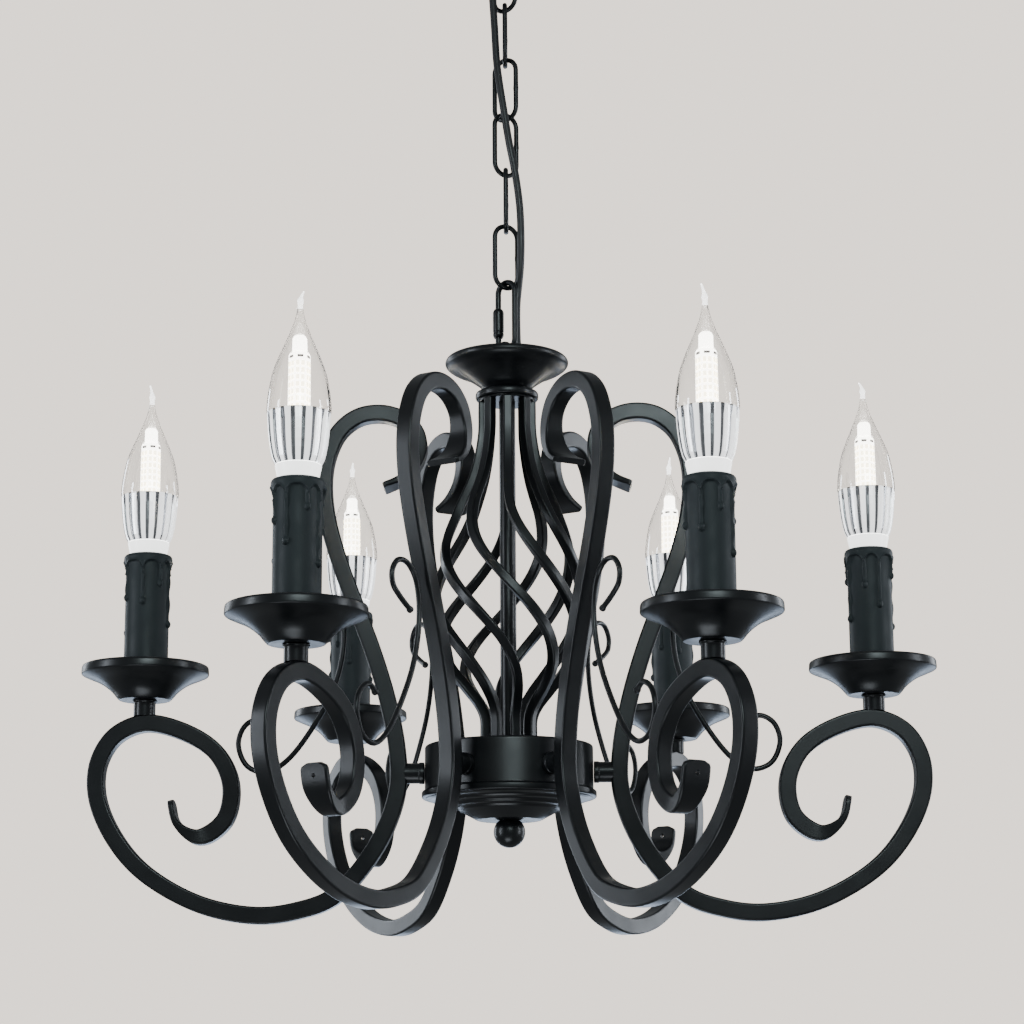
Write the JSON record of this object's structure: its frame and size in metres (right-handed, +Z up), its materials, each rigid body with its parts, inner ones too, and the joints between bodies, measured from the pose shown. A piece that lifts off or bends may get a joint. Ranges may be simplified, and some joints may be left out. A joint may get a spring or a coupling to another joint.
{
  "type": "chandelier",
  "caption": "Wrought-iron candle chandelier: scrolled square-bar arms with drip pans and candle bulbs around a twisted cage, hung on a chain from a ceiling canopy.",
  "frame": {"origin": "the middle of the mounting bracket's top face, where it meets the ceiling", "axes": "+Z up, out of the ceiling face; +X along the first arm; +Y away from the picture's viewer"},
  "size_m": [0.552, 0.4884, 0.7224],
  "materials": {
    "black_iron": "satin black powder coat with a faint hammered surface",
    "plated_steel": "zinc plated, satin",
    "candle_sleeve": "matt dark grey with moulded wax runs",
    "socket_plastic": "moulded, matt",
    "white_plastic": "moulded, matt",
    "black_rubber": "matt",
    "cord_jacket": "smooth vinyl jacket, slightly shiny",
    "bulb_glass": "clear glass on a white faceted foot"
  },
  "bodies": {
    "ceiling_end": {"mounting_bracket": "plated_steel", "ceiling_canopy": "black_iron", "canopy_lock_nut": "plated_steel", "cord_grommet": "black_rubber", "terminal_block": "white_plastic", "canopy_loop": "black_iron"},
    "chain": {"chain_link_1": "black_iron", "chain_link_2": "black_iron", "chain_link_3": "black_iron", "chain_link_4": "black_iron", "chain_link_5": "black_iron", "chain_link_6": "black_iron", "quick_link": "black_iron", "power_cord": "cord_jacket", "power_cord_top": "cord_jacket"},
    "quick_nut": {"quick_link_nut": "black_iron"},
    "fixture": {"top_bowl": "black_iron", "top_loop": "black_iron", "cage_collar": "black_iron", "twisted_cage": "black_iron", "centre_tube": "black_iron", "hub_drum": "black_iron", "hub_cover": "black_iron", "finial": "black_iron", "arm_1": "black_iron", "arm_2": "black_iron", "arm_3": "black_iron", "arm_4": "black_iron", "arm_5": "black_iron", "arm_6": "black_iron", "scroll_wire_1": "black_iron", "scroll_wire_2": "black_iron", "scroll_wire_3": "black_iron", "scroll_wire_4": "black_iron", "scroll_wire_5": "black_iron", "scroll_wire_6": "black_iron", "drip_pan_1": "black_iron", "drip_pan_2": "black_iron", "drip_pan_3": "black_iron", "drip_pan_4": "black_iron", "drip_pan_5": "black_iron", "drip_pan_6": "black_iron", "lampholder_1": "socket_plastic", "lampholder_2": "socket_plastic", "lampholder_3": "socket_plastic", "lampholder_4": "socket_plastic", "lampholder_5": "socket_plastic", "lampholder_6": "socket_plastic", "candle_sleeve_1": "candle_sleeve", "candle_sleeve_2": "candle_sleeve", "candle_sleeve_3": "candle_sleeve", "candle_sleeve_4": "candle_sleeve", "candle_sleeve_5": "candle_sleeve", "candle_sleeve_6": "candle_sleeve"},
    "bulb_1": {"bulb_1": "bulb_glass"},
    "bulb_2": {"bulb_2": "bulb_glass"},
    "bulb_3": {"bulb_3": "bulb_glass"},
    "bulb_4": {"bulb_4": "bulb_glass"},
    "bulb_5": {"bulb_5": "bulb_glass"},
    "bulb_6": {"bulb_6": "bulb_glass"}
  },
  "joints": [
    {"name": "chain_swing", "type": "hinge", "parent": "ceiling_end", "child": "chain", "pos_m": [0, 0, -0.0646], "axis": [0.6157, 0.788, 0], "range_deg": [-25, 25], "deforming": ["power_cord_top"]},
    {"name": "fixture_swing", "type": "hinge", "parent": "chain", "child": "fixture", "pos_m": [0, 0, -0.346], "axis": [0.788, -0.6157, 0], "range_deg": [-20, 20], "deforming": ["power_cord"]},
    {"name": "quick_nut_slide", "type": "slide", "parent": "chain", "child": "quick_nut", "axis": [0, 0, -1], "range_m": [0, 0.0044]},
    {"name": "bulb_1_slide", "type": "slide", "parent": "fixture", "child": "bulb_1", "axis": [0, 0, 1], "range_m": [0, 0.03]},
    {"name": "bulb_2_slide", "type": "slide", "parent": "fixture", "child": "bulb_2", "axis": [0, 0, 1], "range_m": [0, 0.03]},
    {"name": "bulb_3_slide", "type": "slide", "parent": "fixture", "child": "bulb_3", "axis": [0, 0, 1], "range_m": [0, 0.03]},
    {"name": "bulb_4_slide", "type": "slide", "parent": "fixture", "child": "bulb_4", "axis": [0, 0, 1], "range_m": [0, 0.03]},
    {"name": "bulb_5_slide", "type": "slide", "parent": "fixture", "child": "bulb_5", "axis": [0, 0, 1], "range_m": [0, 0.03]},
    {"name": "bulb_6_slide", "type": "slide", "parent": "fixture", "child": "bulb_6", "axis": [0, 0, 1], "range_m": [0, 0.03]}
  ]
}
